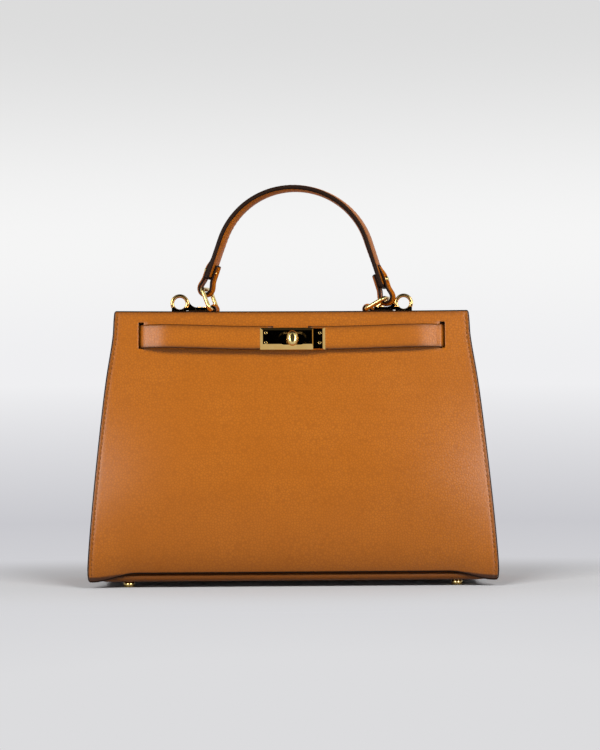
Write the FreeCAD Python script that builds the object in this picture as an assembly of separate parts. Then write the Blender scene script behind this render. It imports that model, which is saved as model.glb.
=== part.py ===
import FreeCAD, Part
import math
import os
from FreeCAD import Vector

# Top handle bag in millimetres: +Z is up, the front faces -Y, the origin is on the floor below the middle.

# Shell panels
base_depth = 110.0
top_depth = 56.0
panel_top_z = 224.4
panel_corner_z = 5.2
panel_arch_rise = 6.8
panel_arch_run = 36.0
panel_bottom_width = 330.0
panel_top_width = 290.0
panel_belly_share = 0.42
panel_belly_bow = 7.8
panel_thickness = 2.4
lining_thickness = 1.0
lining_top_drop = 8.0

# Base tray, board and feet
foot_height = 5.0
foot_radius = 4.5
foot_rim_radius = 1.8
foot_neck_radius = 2.4
foot_shank_radius = 1.5
foot_inset_x = 23.5
foot_inset_y = 12.0
foot_washer_radius = 4.0
foot_washer_thickness = 0.8
foot_rivet_radius = 2.4
base_side_inset = 8.0
base_wall_height = 20.0
base_thickness = 2.0
base_edge_radius = 4.0
board_thickness = 2.0

# Folded side gussets
gusset_thickness = 1.8
gusset_flange = 8.0
gusset_edge_setback = 2.5
gusset_fold_top = 30.0
gusset_fold_bottom = 1.5
gusset_top_drop = 6.5

# Belt straps and their slots
belt_drop = 23.7
belt_width = 19.0
belt_thickness = 1.8
belt_tail = 7.5
slot_inset = 21.5
slot_width = 4.0
slot_rise = 2.0
slot_length = 24.0
right_belt_standoff = 2.0

# Belt plates
plate_height = 18.0
plate_thickness = 1.4
plate_bevel_depth = 1.2
plate_bevel_width = 2.2
plate_low_bevel = 4.4
plate_narrow_bevel = 0.7
left_plate_start = 26.3
left_plate_end = 17.0
right_plate_start = 27.0
right_plate_end = 14.0
plate_slot_length = 23.0
plate_slot_play = 0.5
plate_gap = 0.2
plate_rivet_inset = 4.6
plate_rivet_spacing = 8.2
plate_rivet_rise = 0.7
plate_rivet_radius = 0.8
plate_rivet_head_radius = 1.2
plate_rivet_head_height = 0.6
belt_end_gap = 1.5

# Turn lock
lock_base_length = 26.0
lock_base_height = 14.0
lock_base_thickness = 1.6
lock_boss_radius = 4.2
lock_boss_lift = 0.4
lock_post_radius = 2.0
knob_length = 12.8
knob_width = 9.4
knob_thickness = 4.6
knob_edge_radius = 3.2
knob_seat_share = 0.5
back_plate_thickness = 1.0
retainer_radius = 3.6
retainer_thickness = 1.2
lock_screw_spacing = 19.0
lock_screw_radius = 0.9
lock_screw_head_radius = 1.8
lock_screw_head_height = 1.0
lock_screw_bite_share = 0.65

# Top flap
flap_drop = 1.4
flap_thickness = 2.4
flap_width = 282.0
flap_front_gap = 1.6
flap_hinge_gap = 0.8
lip_thickness = 2.0
lip_width = 240.0
lip_drop = 24.0
flap_lining_thickness = 0.8
flap_lining_margin = 3.0

# Strap eyes
eye_tab_gap = 28.5
right_eye_shift = 1.5
eye_height = 8.4
eye_bore_radius = 4.75
eye_outer_radius = 7.8
eye_ring_thickness = 4.0
eye_rim_radius = 1.2
eye_web_thickness = 1.5
eye_bar_width = 10.0
eye_bar_thickness = 2.5
eye_neck_length = 15.0
eye_foot_reach = 6.6
eye_foot_relief = 0.5
eye_screw_spacing = 4.4
eye_screw_inset = 2.9
eye_screw_radius = 1.2
eye_screw_head_radius = 1.7
eye_screw_head_height = 0.6
eye_backing_length = 18.0
eye_backing_thickness = 1.0

# Handle tabs and rings
tab_spacing = 128.0
tab_width = 12.0
tab_ply = 1.3
tab_tail = 21.0
ring_wire_radius = 1.7
ring_pitch = 18.0
ring_corner_radius = 3.0
ring_side_play = 1.0
left_ring_angle = -21.0
right_ring_angle = 60.0
handle_skew = 15.0

# Handle strap
handle_width = 20.0
handle_ply = 1.5
handle_core_thickness = 1.4
handle_crown_radius = 64.0
handle_apex_z = 329.8
handle_crown_x = 3.9
handle_end_gap = 9.0
handle_loop_tail = 21.0
handle_loop_play = 1.9
handle_loop_width = 11.0
handle_loop_ply = 2.0
handle_rivet_reach = 15.5
handle_rivet_radius = 1.3
handle_rivet_head_radius = 2.4
handle_rivet_head_height = 2.4
handle_rivet_edge_radius = 1.6
handle_rivet_tail_radius = 2.2
handle_rivet_tail_height = 0.5

# Fits and cuts
running_clearance = 0.3
hole_clearance = 0.1
lining_clearance = 0.5
overrun = 1.0

# Derived places
lean = math.atan((base_depth - top_depth) / 2 / panel_top_z)
panel_taper = panel_bottom_width - panel_top_width
panel_belly_width = panel_bottom_width - panel_taper * panel_belly_share + panel_belly_bow
base_width = panel_bottom_width - 2 * base_side_inset
base_top_z = foot_height + base_wall_height
flap_top_z = panel_top_z - flap_drop
flap_under_z = flap_top_z - flap_thickness
back_top_z = flap_under_z - flap_hinge_gap
gusset_top_z = panel_top_z - gusset_top_drop
belt_z = panel_top_z - belt_drop
slot_spacing = panel_top_width - 2 * slot_inset
left_belt_standoff = right_belt_standoff + plate_thickness + plate_gap
wall_depth = panel_thickness + lining_thickness
plate_slot_height = knob_width + 2 * plate_slot_play
left_plate_face = left_belt_standoff + belt_thickness + plate_thickness
boss_top = left_plate_face + lock_boss_lift
knob_under = boss_top + plate_gap
strap_half = handle_ply + handle_core_thickness / 2
skew = math.radians(handle_skew)
across = Vector(math.sin(skew), math.cos(skew), 0)
swing = Vector(math.cos(skew), -math.sin(skew), 0)
up = Vector(0, 0, 1)


def outer_y(z):
    """Half depth of the bag's outer face at a height."""
    return base_depth / 2 - z * math.tan(lean)


def inner_y(z, depth):
    """Half depth at a height, a given thickness inside the outer face."""
    return outer_y(z) - depth / math.cos(lean)


def along_panel(z):
    """Distance up the leaning panel for a height above the floor."""
    return z / math.cos(lean)


def on_front(shape):
    """Stand a shape drawn about the upright plane y = 0 on the leaning front face."""
    placed = shape.copy()
    placed.Placement = FreeCAD.Placement(
        Vector(0, -base_depth / 2, 0),
        FreeCAD.Rotation(Vector(1, 0, 0), -math.degrees(lean)),
    )
    return placed


def on_back(shape):
    """Stand a shape on the leaning back face, as the front turned half round."""
    return on_front(shape).rotated(Vector(0, 0, 0), up, 180)


def polygon_face(points):
    return Part.Face(Part.makePolygon(points + points[:1]))


def block(x_range, y_range, z_range):
    low = Vector(x_range[0], y_range[0], z_range[0])
    size = [high - start for start, high in (x_range, y_range, z_range)]
    return Part.makeBox(size[0], size[1], size[2], low)


def rod(radius, start, end):
    """Round bar between two points."""
    path = end - start
    return Part.makeCylinder(radius, path.Length, start, path)


def panel_rod(radius, x, z, out_from, out_to):
    """Round bar square to the upright drawing plane, between two distances out from it."""
    return rod(radius, Vector(x, -out_from, z), Vector(x, -out_to, z))


def panel_plate(x_range, z_centre, height, out_range):
    """Flat plate on the upright drawing plane, between two distances out from it."""
    z_range = (z_centre - height / 2, z_centre + height / 2)
    return block(x_range, (-out_range[1], -out_range[0]), z_range)


def sides():
    return (("left", -1), ("right", 1))


# Panels, linings and gussets

belt_up = along_panel(belt_z)
lock_through = wall_depth + back_plate_thickness


def panel_blank():
    """Panel with bellied sides and an arched lower edge."""
    low = along_panel(panel_corner_z)
    high = along_panel(panel_top_z)
    belly = low + (high - low) * panel_belly_share
    bottom_left = Vector(-panel_bottom_width / 2, 0, low)
    bottom_right = Vector(panel_bottom_width / 2, 0, low)
    top_left = Vector(-panel_top_width / 2, 0, high)
    top_right = Vector(panel_top_width / 2, 0, high)
    arch_radius = (panel_arch_run ** 2 + panel_arch_rise ** 2) / (2 * panel_arch_rise)
    half_run = panel_arch_run / 2
    half_drop = arch_radius - math.sqrt(arch_radius ** 2 - half_run ** 2)
    arch_x = panel_bottom_width / 2 - panel_arch_run
    arch_z = low + panel_arch_rise
    arch_left = Vector(-arch_x, 0, arch_z)
    arch_right = Vector(arch_x, 0, arch_z)
    edges = [
        Part.Arc(bottom_left, Vector(-arch_x - half_run, 0, arch_z - half_drop), arch_left).toShape(),
        Part.LineSegment(arch_left, arch_right).toShape(),
        Part.Arc(arch_right, Vector(arch_x + half_run, 0, arch_z - half_drop), bottom_right).toShape(),
        Part.Arc(bottom_right, Vector(panel_belly_width / 2, 0, belly), top_right).toShape(),
        Part.LineSegment(top_right, top_left).toShape(),
        Part.Arc(top_left, Vector(-panel_belly_width / 2, 0, belly), bottom_left).toShape(),
    ]
    return Part.Face(Part.Wire(edges)).extrude(Vector(0, panel_thickness, 0))


def gusset_points(z):
    """Right gusset's outline at a height: two flanges joined by an inward fold."""
    share = (z - base_top_z) / (gusset_top_z - base_top_z)
    panel_share = (z - panel_corner_z) / (panel_top_z - panel_corner_z)
    panel_half = (panel_bottom_width + (panel_top_width - panel_bottom_width) * panel_share) / 2
    edge = panel_half - gusset_edge_setback
    fold = gusset_fold_bottom + (gusset_fold_top - gusset_fold_bottom) * share
    half = inner_y(z, panel_thickness)
    leg = half - gusset_thickness
    root = edge - gusset_flange
    wall = gusset_thickness * math.hypot(fold, leg) / leg
    inner_root = root - fold - wall + fold * half / leg
    return [
        Vector(edge, -half, z),
        Vector(edge, -leg, z),
        Vector(root, -leg, z),
        Vector(root - fold, 0, z),
        Vector(root, leg, z),
        Vector(edge, leg, z),
        Vector(edge, half, z),
        Vector(inner_root, half, z),
        Vector(root - fold - wall, 0, z),
        Vector(inner_root, -half, z),
    ]


def gusset():
    rings = []
    for z in (base_top_z, gusset_top_z):
        points = gusset_points(z)
        rings.append(Part.makePolygon(points + points[:1]))
    return Part.makeLoft(rings, True, True)


def lining_half_width(z):
    """Half width that keeps the lining's inner face clear of the gusset's slanting wall."""
    points = gusset_points(z)
    root = points[7]
    fold = points[8]
    slant = (root.x - fold.x) / root.y
    return root.x - slant * wall_depth / math.cos(lean) - lining_clearance


def lining_blank():
    low_z = base_top_z + lining_clearance
    high_z = panel_top_z - lining_top_drop
    low_half = lining_half_width(low_z)
    high_half = lining_half_width(high_z)
    face = polygon_face([
        Vector(-low_half, panel_thickness, along_panel(low_z)),
        Vector(low_half, panel_thickness, along_panel(low_z)),
        Vector(high_half, panel_thickness, along_panel(high_z)),
        Vector(-high_half, panel_thickness, along_panel(high_z)),
    ])
    return face.extrude(Vector(0, lining_thickness, 0))


def lock_screw_places():
    return (-lock_screw_spacing / 2, lock_screw_spacing / 2)


def front_cutters():
    """Belt slots and lock holes through the front panel and its lining."""
    cutters = []
    reach = (-wall_depth - overrun, overrun)
    for name, side in sides():
        middle = side * slot_spacing / 2
        x_range = (middle - slot_width / 2, middle + slot_width / 2)
        cutters.append(panel_plate(x_range, belt_up + slot_rise, slot_length, reach))
    cutters.append(panel_rod(lock_post_radius + hole_clearance, 0, belt_up, reach[0], reach[1]))
    for x in lock_screw_places():
        cutters.append(panel_rod(lock_screw_radius + hole_clearance, x, belt_up, reach[0], reach[1]))
    return cutters


def shell_parts():
    cutters = front_cutters()
    back_top = along_panel(back_top_z)
    above_back = block(
        (-panel_bottom_width, panel_bottom_width),
        (-overrun, panel_thickness + overrun),
        (back_top, along_panel(panel_top_z) + overrun),
    )
    right = gusset()
    return {
        "front_panel": on_front(panel_blank().cut(cutters)),
        "back_panel": on_back(panel_blank().cut(above_back)),
        "front_lining": on_front(lining_blank().cut(cutters)),
        "back_lining": on_back(lining_blank()),
        "left_gusset": right.mirror(Vector(0, 0, 0), Vector(1, 0, 0)),
        "right_gusset": right,
    }


# Base tray, board, feet and washers

board_under_z = foot_height + base_thickness
board_top_z = board_under_z + board_thickness
washer_top_z = board_top_z + foot_washer_thickness


def tray_ring(z, wall):
    x = base_width / 2 - wall
    y = inner_y(z, panel_thickness) - wall
    points = [Vector(-x, -y, z), Vector(x, -y, z), Vector(x, y, z), Vector(-x, y, z)]
    return Part.makePolygon(points + points[:1])


def foot_places():
    x = base_width / 2 - foot_inset_x
    y = inner_y(foot_height, panel_thickness) - foot_inset_y
    return [Vector(sx * x, sy * y, 0) for sx in (-1, 1) for sy in (-1, 1)]


def foot(place):
    """Rounded stud with a shank riveted over its washer."""
    dome = Part.makeCylinder(foot_radius, foot_height, place)
    neck = [edge for edge in dome.Edges if edge.BoundBox.ZMin > foot_height / 2]
    dome = dome.makeFillet(foot_neck_radius, neck)
    rim = [edge for edge in dome.Edges if edge.BoundBox.ZMax < foot_height / 4]
    dome = dome.makeFillet(foot_rim_radius, rim)
    shank = rod(foot_shank_radius, place + up * foot_height, place + up * washer_top_z)
    rivet = rod(
        foot_rivet_radius,
        place + up * washer_top_z,
        place + up * (washer_top_z + foot_washer_thickness),
    )
    return dome.fuse([shank, rivet]).removeSplitter()


def base_parts():
    shank_holes = []
    for place in foot_places():
        top = place + up * (washer_top_z + overrun)
        shank_holes.append(rod(foot_shank_radius + hole_clearance, place, top))
    outside = Part.makeLoft([tray_ring(foot_height, 0), tray_ring(base_top_z, 0)], True, True)
    lower_edges = [edge for edge in outside.Edges if edge.BoundBox.ZMax < foot_height + base_thickness]
    outside = outside.makeFillet(base_edge_radius, lower_edges)
    rim_z = base_top_z + overrun
    inside = Part.makeLoft(
        [tray_ring(board_under_z, base_thickness), tray_ring(rim_z, base_thickness)], True, True
    )
    board_y = inner_y(board_top_z, panel_thickness) - base_thickness - running_clearance
    board_x = base_width / 2 - base_thickness - running_clearance
    board = block((-board_x, board_x), (-board_y, board_y), (board_under_z, board_top_z))
    washers = []
    for place in foot_places():
        washer = rod(foot_washer_radius, place + up * board_top_z, place + up * washer_top_z)
        washers.append(washer.cut(shank_holes))
    return {
        "base_panel": outside.cut([inside] + shank_holes),
        "base_board": board.cut(shank_holes),
        "base_feet": Part.makeCompound([foot(place) for place in foot_places()]),
        "foot_washers": Part.makeCompound(washers),
    }


# Belt straps, plates and their rivets

def belt(side, standoff, inner_end):
    """Strap along the panel that turns in through its slot to a sewn tail."""
    leg_in = slot_spacing / 2 - belt_thickness / 2
    leg_out = slot_spacing / 2 + belt_thickness / 2
    face_out = standoff + belt_thickness
    tail_end = leg_out + belt_tail
    profile = [
        (inner_end, face_out),
        (leg_out, face_out),
        (leg_out, -wall_depth),
        (tail_end, -wall_depth),
        (tail_end, -wall_depth - belt_thickness),
        (leg_in, -wall_depth - belt_thickness),
        (leg_in, standoff),
        (inner_end, standoff),
    ]
    low = belt_up - belt_width / 2
    face = polygon_face([Vector(side * x, -out, low) for x, out in profile])
    return face.extrude(up * belt_width)


def plate_slot(face_out):
    """Long round-ended opening that passes over the turned knob."""
    half = plate_slot_height / 2
    run = plate_slot_length / 2 - half
    reach = (face_out - plate_thickness - overrun, face_out + overrun)
    middle = panel_plate((-run, run), belt_up, plate_slot_height, reach)
    ends = [panel_rod(half, x, belt_up, reach[0], reach[1]) for x in (-run, run)]
    return middle.fuse(ends)


def plate_rim(x_range, insets, out):
    """Plate's outline at a distance out from the panel, drawn in at its left, right, lower and upper edges."""
    left_inset, right_inset, low_inset, high_inset = insets
    low = belt_up - plate_height / 2 + low_inset
    high = belt_up + plate_height / 2 - high_inset
    left = x_range[0] + left_inset
    right = x_range[1] - right_inset
    points = [Vector(x, -out, z) for x, z in ((left, low), (right, low), (right, high), (left, high))]
    return Part.makePolygon(points + points[:1])


def belt_plate(x_range, face_out, bevels):
    """Flat plate with bevels of four widths, at the left, right, lower and upper edges of its face."""
    shoulder = face_out - plate_bevel_depth
    bed = panel_plate(x_range, belt_up, plate_height, (face_out - plate_thickness, shoulder))
    rims = [plate_rim(x_range, (0, 0, 0, 0), shoulder), plate_rim(x_range, bevels, face_out)]
    bevelled = Part.makeLoft(rims, True, True)
    return bed.fuse(bevelled).removeSplitter().cut(plate_slot(face_out))


def rivet_levels():
    middle = belt_up + plate_rivet_rise
    return middle - plate_rivet_spacing / 2, middle + plate_rivet_spacing / 2


def plate_rivets(x, face_out):
    """Two rivets through a plate and its strap."""
    back = face_out - plate_thickness - belt_thickness
    head = plate_rivet_head_height
    rivets = []
    for z in rivet_levels():
        shank = panel_rod(plate_rivet_radius, x, z, back, face_out)
        front_head = panel_rod(plate_rivet_head_radius, x, z, face_out, face_out + head)
        rim = [edge for edge in front_head.Edges if edge.BoundBox.YMax < -face_out - head / 2]
        front_head = front_head.makeFillet(head / 2, rim)
        back_head = panel_rod(plate_rivet_head_radius, x, z, back - head / 2, back)
        rivets.append(shank.fuse([front_head, back_head]).removeSplitter())
    return rivets


def belt_parts():
    right_plate_face = right_belt_standoff + belt_thickness + plate_thickness
    faces = {"left": left_plate_face, "right": right_plate_face}
    standoffs = {"left": left_belt_standoff, "right": right_belt_standoff}
    plate_ranges = {
        "left": (-left_plate_start, left_plate_end),
        "right": (-right_plate_end, right_plate_start),
    }
    bevels = {
        "left": (plate_bevel_width, plate_narrow_bevel, plate_low_bevel, plate_bevel_width),
        "right": (plate_narrow_bevel, plate_bevel_width, plate_narrow_bevel, plate_narrow_bevel),
    }
    rivet_x = {
        "left": plate_rivet_inset - left_plate_start,
        "right": right_plate_start - plate_rivet_inset,
    }
    strap_ends = {
        "left": right_plate_end + belt_end_gap,
        "right": plate_slot_length / 2 + belt_end_gap,
    }
    parts = {}
    rivets = []
    for name, side in sides():
        face = faces[name]
        holes = []
        for z in rivet_levels():
            holes.append(panel_rod(plate_rivet_radius + hole_clearance, rivet_x[name], z, 0, face + overrun))
        parts[name + "_belt"] = on_front(belt(side, standoffs[name], strap_ends[name]).cut(holes))
        plate = belt_plate(plate_ranges[name], face, bevels[name])
        parts[name + "_belt_plate"] = on_front(plate.cut(holes))
        rivets += [on_front(rivet) for rivet in plate_rivets(rivet_x[name], face)]
    parts["belt_plate_rivets"] = Part.makeCompound(rivets)
    return parts


# Turn lock

def lock_parts():
    bore = lock_post_radius + hole_clearance
    half = lock_base_length / 2
    plate = panel_plate((-half, half), belt_up, lock_base_height, (0, lock_base_thickness))
    boss = panel_rod(lock_boss_radius, 0, belt_up, lock_base_thickness, boss_top)
    post_bore = panel_rod(bore, 0, belt_up, -overrun, boss_top + overrun)
    bite = lock_base_thickness * lock_screw_bite_share
    screw_bites = []
    screw_holes = []
    screws = []
    for x in lock_screw_places():
        hole = lock_screw_radius + hole_clearance
        screw_bites.append(panel_rod(hole, x, belt_up, -overrun, bite))
        screw_holes.append(panel_rod(hole, x, belt_up, -lock_through - overrun, 0))
        shank = panel_rod(lock_screw_radius, x, belt_up, -lock_through, bite)
        head_top = -lock_through - lock_screw_head_height
        head = panel_rod(lock_screw_head_radius, x, belt_up, head_top, -lock_through)
        screws.append(on_front(shank.fuse(head).removeSplitter()))
    back_plate = panel_plate((-half, half), belt_up, lock_base_height, (-lock_through, -wall_depth))
    back_bore = panel_rod(bore, 0, belt_up, -lock_through - overrun, 0)
    retainer_front = -lock_through - running_clearance
    retainer_back = retainer_front - retainer_thickness
    retainer = panel_rod(retainer_radius, 0, belt_up, retainer_back, retainer_front)
    post_end = knob_under + knob_thickness * knob_seat_share
    post = panel_rod(lock_post_radius, 0, belt_up, retainer_back, post_end)
    oval = Part.Ellipse(
        Vector(0, -knob_under, belt_up + knob_length / 2),
        Vector(knob_width / 2, -knob_under, belt_up),
        Vector(0, -knob_under, belt_up),
    )
    knob = Part.Face(Part.Wire(oval.toShape())).extrude(Vector(0, -knob_thickness, 0))
    knob = knob.makeFillet(knob_edge_radius, [
        edge for edge in knob.Edges if edge.BoundBox.YMax < -knob_under - knob_thickness / 2
    ])
    knob_bore = panel_rod(bore, 0, belt_up, knob_under - overrun, post_end)
    retainer_bore = panel_rod(bore, 0, belt_up, retainer_back - overrun, retainer_front + overrun)
    return {
        "lock_base": on_front(plate.fuse(boss).removeSplitter().cut([post_bore] + screw_bites)),
        "lock_back_plate": on_front(back_plate.cut([back_bore] + screw_holes)),
        "lock_screws": Part.makeCompound(screws),
        "lock_post": on_front(post),
        "lock_knob": on_front(knob.cut(knob_bore)),
        "lock_retainer": on_front(retainer.cut(retainer_bore)),
    }


# Top flap, its tuck-in lip, strap eyes and handle tabs

hinge_y = outer_y(back_top_z)
flap_front_y = flap_front_gap - inner_y(flap_top_z, panel_thickness)
lip_reach = hinge_y - flap_front_y
tab_loop_inner = ring_wire_radius + running_clearance
tab_loop_outer = tab_loop_inner + tab_ply
bar_z = flap_top_z + tab_loop_outer
tail_top_z = flap_top_z + 2 * tab_ply
eye_bar_top_z = tail_top_z + eye_bar_thickness
eye_z = flap_top_z + eye_height
backing_top_z = flap_under_z - flap_lining_thickness
eye_bar_end = tab_spacing / 2 + tab_loop_outer + math.tan(skew) * eye_bar_width / 2 + running_clearance


def eye_screw_places(side):
    first = eye_bar_end + eye_screw_inset
    return [Vector(side * x, 0, 0) for x in (first, first + eye_screw_spacing)]


def lip():
    """Curved plate round the hinge line, hanging from the flap's front edge."""
    drop_angle = math.asin(lip_drop / lip_reach)
    rim = []
    for radius in (lip_reach, lip_reach - lip_thickness):
        for angle in (0, drop_angle / 2, drop_angle):
            rim.append(Vector(
                -lip_width / 2, hinge_y - radius * math.cos(angle), flap_under_z - radius * math.sin(angle)
            ))
    outer_top, outer_middle, outer_low, inner_top, inner_middle, inner_low = rim
    edges = [
        Part.Arc(outer_top, outer_middle, outer_low).toShape(),
        Part.LineSegment(outer_low, inner_low).toShape(),
        Part.Arc(inner_low, inner_middle, inner_top).toShape(),
        Part.LineSegment(inner_top, outer_top).toShape(),
    ]
    return Part.Face(Part.Wire(edges)).extrude(Vector(lip_width, 0, 0))


def strap_eye(side):
    """Cast bracket: a bar on the tab's tails, a foot on the flap, and an upright ring that sweeps into the bar."""
    centre = tab_spacing / 2 + eye_tab_gap + (right_eye_shift if side > 0 else 0)
    neck = centre - eye_neck_length
    rise = eye_z - eye_bar_top_z
    reach = eye_neck_length ** 2 + rise ** 2 - eye_outer_radius ** 2
    neck_radius = reach / (2 * (eye_outer_radius + rise))
    neck_z = eye_bar_top_z + neck_radius
    eye = Vector(side * centre, 0, eye_z)
    thick = Vector(0, eye_ring_thickness, 0)
    reach_back = thick / 2 + Vector(0, overrun, 0)
    web_back = -eye_web_thickness / 2
    web = polygon_face([
        Vector(side * centre, web_back, eye_z),
        Vector(side * neck, web_back, neck_z),
        Vector(side * neck, web_back, tail_top_z),
        Vector(side * centre, web_back, tail_top_z),
    ]).extrude(Vector(0, eye_web_thickness, 0))
    neck_middle = Vector(side * neck, 0, neck_z)
    neck_cut = rod(neck_radius, neck_middle - reach_back, neck_middle + reach_back)
    bore = rod(eye_bore_radius, eye - reach_back, eye + reach_back)
    ring = rod(eye_outer_radius, eye - thick / 2, eye + thick / 2).cut(bore)
    rims = [edge for edge in ring.Edges if edge.BoundBox.YLength < eye_ring_thickness / 2]
    ring = ring.makeFillet(eye_rim_radius, rims)
    foot_start = tab_spacing / 2 + tab_tail + math.tan(skew) * tab_width / 2 + running_clearance
    foot_end = centre + eye_foot_reach
    bar_y = (-eye_bar_width / 2, eye_bar_width / 2)
    bar = block(sorted((side * eye_bar_end, side * foot_end)), bar_y, (tail_top_z, eye_bar_top_z))
    foot = block(sorted((side * foot_start, side * foot_end)), bar_y, (flap_top_z, eye_bar_top_z))
    foot_back = Vector(0, eye_bar_width / 2 + overrun, 0)
    relief = rod(eye_bore_radius + eye_foot_relief, eye - foot_back, eye + foot_back)
    base = bar.fuse(foot).removeSplitter().cut(relief)
    return base.fuse([web.cut([neck_cut, bore]), ring]).removeSplitter()


def handle_tab(side):
    """Leather strip folded round the ring's lower bar, with both tails flat on the flap."""
    x = side * tab_spacing / 2
    middle = Vector(x, 0, bar_z) - across * (tab_width / 2)
    width = across * tab_width
    loop = Part.Face(Part.Wire(Part.makeCircle(tab_loop_outer, middle, Vector(0, 1, 0)))).extrude(width)
    start = middle - up * tab_loop_outer
    tails = polygon_face([
        start,
        start + Vector(side * tab_tail, 0, 0),
        start + Vector(side * tab_tail, 0, 2 * tab_ply),
        start + Vector(0, 0, 2 * tab_ply),
    ]).extrude(width)
    bar_start = middle - across * overrun
    bar = rod(tab_loop_inner, bar_start, bar_start + across * (tab_width + 2 * overrun))
    return loop.fuse(tails).removeSplitter().cut(bar)


def flap_parts():
    half = flap_width / 2
    holes = []
    screws = []
    backings = []
    screw_low = backing_top_z - eye_backing_thickness
    for name, side in sides():
        for place in eye_screw_places(side):
            low = place + up * screw_low
            top = place + up * eye_bar_top_z
            holes.append(rod(eye_screw_radius + hole_clearance, low - up * overrun, top + up * overrun))
            shank = rod(eye_screw_radius, low, top)
            head = rod(eye_screw_head_radius, top, top + up * eye_screw_head_height)
            screws.append(shank.fuse(head).removeSplitter())
    for name, side in sides():
        middle = side * (eye_bar_end + eye_screw_inset + eye_screw_spacing / 2)
        x_range = (middle - eye_backing_length / 2, middle + eye_backing_length / 2)
        backing = block(x_range, (-eye_bar_width / 2, eye_bar_width / 2), (screw_low, backing_top_z))
        backings.append(backing.cut(holes))
    flap = block((-half, half), (flap_front_y, hinge_y), (flap_under_z, flap_top_z))
    lining_front = flap_front_y + lip_thickness + flap_lining_margin
    lining_back = inner_y(flap_top_z, wall_depth) - flap_lining_margin
    lining_x = (-lip_width / 2, lip_width / 2)
    lining = block(lining_x, (lining_front, lining_back), (backing_top_z, flap_under_z))
    parts = {
        "top_flap": flap.cut(holes),
        "flap_lip": lip(),
        "flap_lining": lining.cut(holes),
        "eye_screws": Part.makeCompound(screws),
        "eye_backing_plates": Part.makeCompound(backings),
    }
    for name, side in sides():
        parts[name + "_strap_eye"] = strap_eye(side).cut(holes)
        parts[name + "_handle_tab"] = handle_tab(side).cut(holes)
    return parts


# Handle rings

def ring_direction(angle):
    """Direction from a ring's lower bar to its upper bar."""
    turn = math.radians(angle)
    return swing * math.sin(turn) + up * math.cos(turn)


def ring_low(side, angle):
    """Middle of a ring's lower bar, slid along it so that the upper bar stays centred on the bag."""
    slide = ring_pitch * math.sin(math.radians(angle)) * math.tan(skew)
    return Vector(side * tab_spacing / 2, 0, bar_z) + across * slide


def ring_high(side, angle):
    return ring_low(side, angle) + ring_direction(angle) * ring_pitch


def handle_ring(side, angle):
    """Rounded oblong of round wire."""
    rise = ring_direction(angle)
    reach = handle_width / 2 + ring_side_play + ring_wire_radius
    middle = ring_low(side, angle) + rise * (ring_pitch / 2)
    half = ring_pitch / 2
    corner = ring_corner_radius
    bend_share = math.sqrt(0.5)
    quarters = ((1, 1), (-1, 1), (-1, -1), (1, -1))
    edges = []
    last = None
    first = None
    for number, (a, b) in enumerate(quarters):
        centre = middle + across * (a * (reach - corner)) + rise * (b * (half - corner))
        on_side = centre + across * (a * corner)
        on_bar = centre + rise * (b * corner)
        bend = centre + (across * a + rise * b) * (corner * bend_share)
        start, end = (on_side, on_bar) if number % 2 == 0 else (on_bar, on_side)
        if last is None:
            first = start
        else:
            edges.append(Part.LineSegment(last, start).toShape())
        edges.append(Part.Arc(start, bend, end).toShape())
        last = end
    edges.append(Part.LineSegment(last, first).toShape())
    section = Part.Wire(Part.makeCircle(ring_wire_radius, first, rise))
    return Part.Wire(edges).makePipeShell([section], True, False)


# Handle strap

crown = Vector(handle_crown_x, 0, handle_apex_z - strap_half - handle_crown_radius)


class Leg:
    """One straight leg of the handle, from a ring's upper bar to where it meets the crown arc."""

    def __init__(self, side, angle):
        self.pivot = ring_high(side, angle)
        reach = self.pivot - crown
        away = math.atan2(reach.z, reach.x)
        turn = math.acos(handle_crown_radius / reach.Length)
        facing = away + side * turn
        self.out = Vector(math.cos(facing), 0, math.sin(facing))
        touch = crown + self.out * handle_crown_radius
        self.rise = (touch - self.pivot).normalize()
        self.normal = across.cross(self.rise).normalize()
        if self.normal.dot(self.out) < 0:
            self.normal = -self.normal

    def at(self, along, out):
        return self.pivot + self.rise * along + self.out * out

    def touch(self, out):
        return crown + self.out * (handle_crown_radius + out)

    def square(self, along, out):
        """Point straight out from the strap's skewed face, at a layer's distance from its middle line."""
        return self.at(along, 0) + self.normal * (out * self.normal.dot(self.out))


left_leg = Leg(-1, left_ring_angle)
right_leg = Leg(1, right_ring_angle)


def across_strap(face, width):
    """Give a face drawn on the bag's middle plane a width along the strap's skewed direction."""
    lowered = face.translated(across * (-width / 2))
    return lowered.extrude(across * width)


def strap_ply(inner, outer):
    """Layer of the strap between two distances out from its middle line."""
    rows = []
    for out in (outer, inner):
        rows.append((
            left_leg.at(handle_end_gap, out),
            left_leg.touch(out),
            crown + up * (handle_crown_radius + out),
            right_leg.touch(out),
            right_leg.at(handle_end_gap, out),
        ))
    edges = []
    for start, rising, apex, falling, end in rows:
        edges.append(Part.LineSegment(start, rising).toShape())
        edges.append(Part.Arc(rising, apex, falling).toShape())
        edges.append(Part.LineSegment(falling, end).toShape())
    edges.append(Part.LineSegment(rows[0][0], rows[1][0]).toShape())
    edges.append(Part.LineSegment(rows[0][-1], rows[1][-1]).toShape())
    return across_strap(Part.Face(Part.Wire(Part.sortEdges(edges)[0])), handle_width)


def loop_outline(leg, radius, tail_out):
    """Outline that hangs with its round end on a ring bar and narrows to a distance from the strap's middle line."""
    lift = handle_loop_play / 2
    return [
        leg.at(handle_end_gap + handle_loop_tail, tail_out),
        leg.at(handle_end_gap, tail_out),
        leg.at(lift, radius),
        leg.at(lift - radius, 0),
        leg.at(lift, -radius),
        leg.at(handle_end_gap, -tail_out),
        leg.at(handle_end_gap + handle_loop_tail, -tail_out),
    ]


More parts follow.
